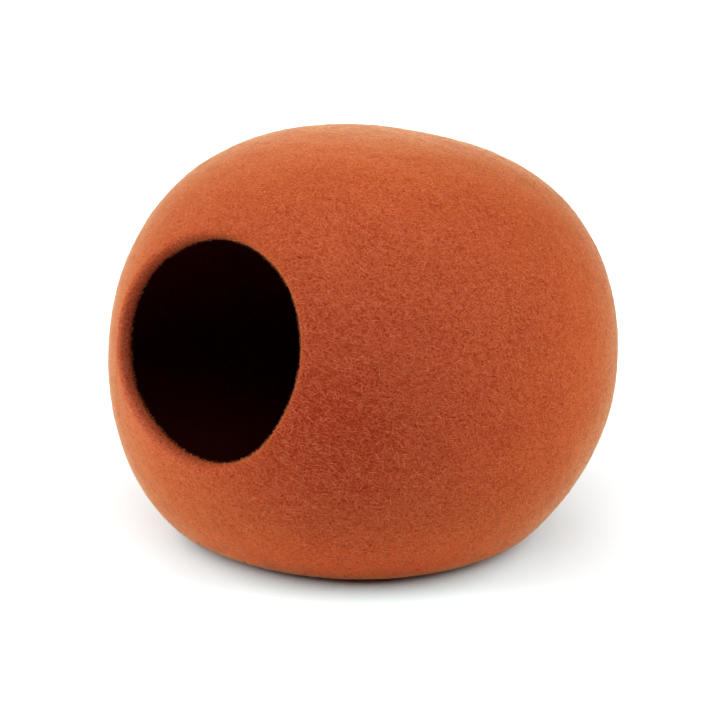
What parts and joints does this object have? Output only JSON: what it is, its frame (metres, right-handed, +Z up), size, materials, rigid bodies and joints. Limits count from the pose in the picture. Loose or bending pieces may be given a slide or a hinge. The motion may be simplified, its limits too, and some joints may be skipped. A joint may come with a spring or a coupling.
{
  "type": "felt cat cave",
  "caption": "Hollow egg-shaped pet den of thick felted wool, with a round doorway facing forward and slightly up and a flat base that rests on the floor.",
  "frame": {"origin": "middle of the flat base, on the floor", "axes": "+Z up, -Y out through the doorway, +X to the right when the doorway is faced from outside"},
  "size_m": [0.4604, 0.4537, 0.367],
  "materials": {
    "wool_felt": "matt wool felt, rust orange, fine fibre nap"
  },
  "bodies": {
    "root": {"felt_shell": "wool_felt"}
  },
  "joints": []
}
